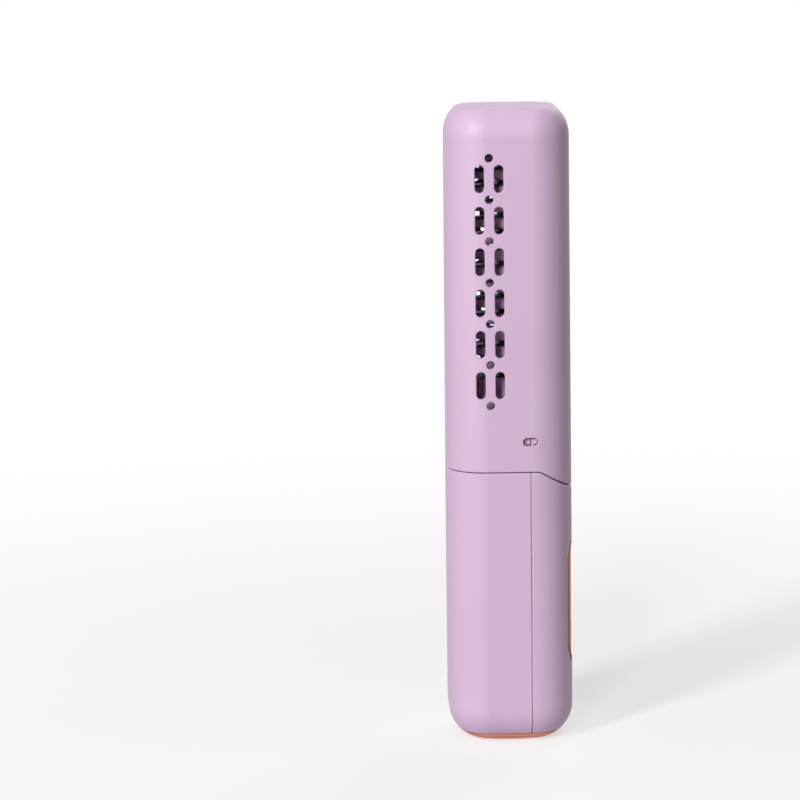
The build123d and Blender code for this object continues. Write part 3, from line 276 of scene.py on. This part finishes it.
# ---------------------------------------------------------------- crown of the cap
CASE_REACH = [round(reach, 6) for reach in cad_box[1][:2]]  # half sizes, to the micrometre
CASE_CORNER = 0.0110       # radius of the casing's upright corners
CASE_NARROWED = 0.0003     # how far the draft has brought the sides in, up at the crown
CROWN_ROUNDING = 0.0076    # radius of the CAD's rounding at the top edge
CROWN_CORE = [reach - CASE_CORNER for reach in CASE_REACH]  # where the corners are centred
CROWN_SIDE = CASE_CORNER - CASE_NARROWED  # from the core to the side
CROWN_SKIN = 0.0003        # how near to the CAD's outside a point counts as on it
CROWN_REACH = 0.0062       # half width of the ellipse that the photograph's rounding follows
CROWN_RISE = 0.0082        # its half height, which the flat top cuts off
CROWN_FLAT = 0.999         # upward part of a normal, from which it belongs to the flat top


def crown_rounding(rise):
    """The photograph's rounding at a height above its start: its inset and its slope."""
    level = math.sqrt(1.0 - (rise / CROWN_RISE) ** 2)
    return CROWN_REACH * (1.0 - level), CROWN_REACH * rise / (CROWN_RISE ** 2 * level)


def crown_outwards(place):
    """From the core to a place, on the level: the way in which the casing's side faces there."""
    core = [max(-half, min(half, place[axis])) for axis, half in enumerate(CROWN_CORE)]
    return Vector((place.x - core[0], place.y - core[1], 0.0))


def let_out(mesh, start):
    """Moves the outer points above the start from the CAD's rounding to the photograph's."""
    normals = [corner.vector.copy() for corner in mesh.corner_normals]
    facing = {}
    for vertex in mesh.vertices:
        rise = min(vertex.co.z - start, CROWN_ROUNDING)
        if rise <= 0.0:
            continue
        cad_inset = CROWN_ROUNDING - math.sqrt(CROWN_ROUNDING ** 2 - rise ** 2)
        out = crown_outwards(vertex.co)
        if abs(out.length + cad_inset - CROWN_SIDE) < CROWN_SKIN:
            inset, slope = crown_rounding(rise)
            out.normalize()
            vertex.co += out * (cad_inset - inset)
            facing[vertex.index] = Vector((out.x, out.y, slope)).normalized()
    for loop in mesh.loops:
        if loop.vertex_index in facing and normals[loop.index].z < CROWN_FLAT:
            normals[loop.index] = facing[loop.vertex_index]
    mesh.normals_split_custom_set(normals)


def make_crown():
    """The cap with the photograph's tighter top edge, which meets the flat top in a crease."""
    cap = bpy.data.objects.new("cap_shell_crowned", frame["nodes"]["cap_shell"].data.copy())
    bpy.context.scene.collection.objects.link(cap)
    let_out(cap.data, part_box("cap_shell")[1].z - CROWN_ROUNDING)
    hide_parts("cap_shell")
    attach(cap, "cap")


# ---------------------------------------------------------------- studio
FLOOR_RADIUS = 6.0
FLOOR_CLOUD = 6.0                                       # scale of its faint clouding, per metre
FLOOR_PALE = (0.90, 0.90, 0.90), (0.93, 0.93, 0.93)     # the two tones of that
FLOOR_PLAIN = ((0.009, 0.0), (0.0135, 0.66), (0.050, 0.57), (0.45, 1.0))  # radius, white share
FLOOR_BOUNCE = (0.55, 0.55, 0.55), (0.20, 0.20, 0.20)   # its tones for bounced light, near and far
FLOOR_BOUNCE_RADII = 0.04, 0.30                         # where near ends and far starts
WORLD_LIGHT = 0.04                                      # strength of the even light on the object

# The key light is in two parts, key and front. At their angles the light that enters by the
# vents falls between the columns of slots, so that the slots look dark.
LAMP_TARGET = (0.0, 0.0, 0.09)
LAMPS = (  # name, place, size, watts
    ("key_softbox", (-0.963, -1.189, 0.78), (0.24, 0.9), 22.3),
    ("front_softbox", (-0.396, -1.478, 0.78), (0.24, 0.9), 9.6),
    ("fill_softbox", (1.30, -0.30, 0.40), (0.6, 0.9), 0.7),
    ("back_softbox", (0.70, 1.25, 0.95), (1.0, 1.0), 8.0),
    ("top_softbox", (-0.1, 0.1, 1.5), (0.9, 0.9), 4.0),
)


def seen_share(tree):
    """1 for rays from the camera, mirrors and glass, and 0 for those that only light the object."""
    rays = tree.nodes.new("ShaderNodeLightPath")
    total = rays.outputs["Is Camera Ray"]
    for kind in ("Is Glossy Ray", "Is Transmission Ray"):
        either = tree.nodes.new("ShaderNodeMath")
        either.operation = "MAXIMUM"
        tree.links.new(total, either.inputs[0])
        tree.links.new(rays.outputs[kind], either.inputs[1])
        total = either.outputs["Value"]
    return total


def mixed(tree, factor, first, second):
    """A shader that goes from the first to the second with the factor."""
    mix = tree.nodes.new("ShaderNodeMixShader")
    for source, socket in zip((factor, first, second), mix.inputs):
        tree.links.new(source, socket)
    return mix.outputs["Shader"]


def floor_material():
    """Pale floor: it takes the shadow, is plain white far out and throws little light back."""
    n = Nodes("floor_pale")
    pale = n.add("ShaderNodeBsdfDiffuse")
    n.link(n.ramp(n.noise(FLOOR_CLOUD, detail=2.0), *FLOOR_PALE), pale.inputs["Color"])
    plain = n.add("ShaderNodeEmission")
    plain.inputs["Color"].default_value = colour4(WHITE)
    place = n.add("ShaderNodeNewGeometry")
    distance = n.add("ShaderNodeVectorMath", operation="LENGTH")
    n.link(place.outputs["Position"], distance.inputs[0])
    dim = n.add("ShaderNodeBsdfDiffuse")
    bounce = n.ramp(distance.outputs["Value"], *FLOOR_BOUNCE, *FLOOR_BOUNCE_RADII)
    n.link(bounce, dim.inputs["Color"])
    fade = n.add("ShaderNodeValToRGB")
    fade.color_ramp.interpolation = "EASE"
    for radius, _ in FLOOR_PLAIN[2:]:  # a new ramp comes with two elements
        fade.color_ramp.elements.new(radius)
    for element, (radius, share) in zip(fade.color_ramp.elements, FLOOR_PLAIN):
        element.position = radius
        element.color = colour4((share, share, share))
    n.link(distance.outputs["Value"], fade.inputs["Fac"])
    look = mixed(n.tree, fade.outputs["Color"], pale.outputs["BSDF"], plain.outputs["Emission"])
    surface = mixed(n.tree, seen_share(n.tree), dim.outputs["BSDF"], look)
    n.link(surface, n.output.inputs["Surface"])
    return n.material


def make_floor():
    """A round floor under the foot."""
    bpy.ops.mesh.primitive_circle_add(
        vertices=96, radius=FLOOR_RADIUS, fill_type="NGON", location=(0, 0, 0))
    floor = bpy.context.object
    floor.name = "studio_floor"
    floor.data.materials.append(floor_material())


def make_world():
    """White to the camera, and a weak even light on the object."""
    world = bpy.data.worlds.new("studio")
    bpy.context.scene.world = world
    world.use_nodes = True
    tree = world.node_tree
    tree.nodes.clear()
    layers = []
    for strength in (WORLD_LIGHT, 1.0):
        layer = tree.nodes.new("ShaderNodeBackground")
        layer.inputs["Color"].default_value = colour4(WHITE)
        layer.inputs["Strength"].default_value = strength
        layers.append(layer.outputs["Background"])
    output = tree.nodes.new("ShaderNodeOutputWorld")
    tree.links.new(mixed(tree, seen_share(tree), *layers), output.inputs["Surface"])


def softbox(name, place, size, watts):
    """A rectangular area lamp that faces the middle of the object."""
    data = bpy.data.lights.new(name, "AREA")
    data.shape = "RECTANGLE"
    data.size, data.size_y = size
    data.energy = watts
    lamp = bpy.data.objects.new(name, data)
    lamp.location = place
    aim = Vector(LAMP_TARGET) - Vector(place)
    lamp.rotation_euler = aim.to_track_quat("-Z", "Y").to_euler()
    bpy.context.scene.collection.objects.link(lamp)


def make_lamps():
    """Key and front lamp from the left, a faint fill from the right, a back and a top lamp."""
    for lamp in LAMPS:
        softbox(*lamp)


def make_camera():
    """The photograph's viewpoint, turned a little round the object."""
    data = bpy.data.cameras.new("camera")
    data.lens = CAMERA_LENS
    data.sensor_width = CAMERA_SENSOR
    camera = bpy.data.objects.new("camera", data)
    orbit = Matrix.Rotation(math.radians(CAMERA_ORBIT), 4, "Z")
    place = Matrix.Translation((CAMERA_SIDE, CAMERA_BACK, CAMERA_HEIGHT))
    tilt = Matrix.Rotation(math.radians(90.0 - CAMERA_PITCH), 4, "X")
    roll = Matrix.Rotation(math.radians(CAMERA_ROLL), 4, "Z")
    camera.matrix_world = orbit @ place @ tilt @ roll
    bpy.context.scene.collection.objects.link(camera)
    bpy.context.scene.camera = camera


bpy.context.scene.view_settings.view_transform = "Standard"
dress_nodes()
make_crown()
make_floor()
make_world()
make_lamps()
make_camera()
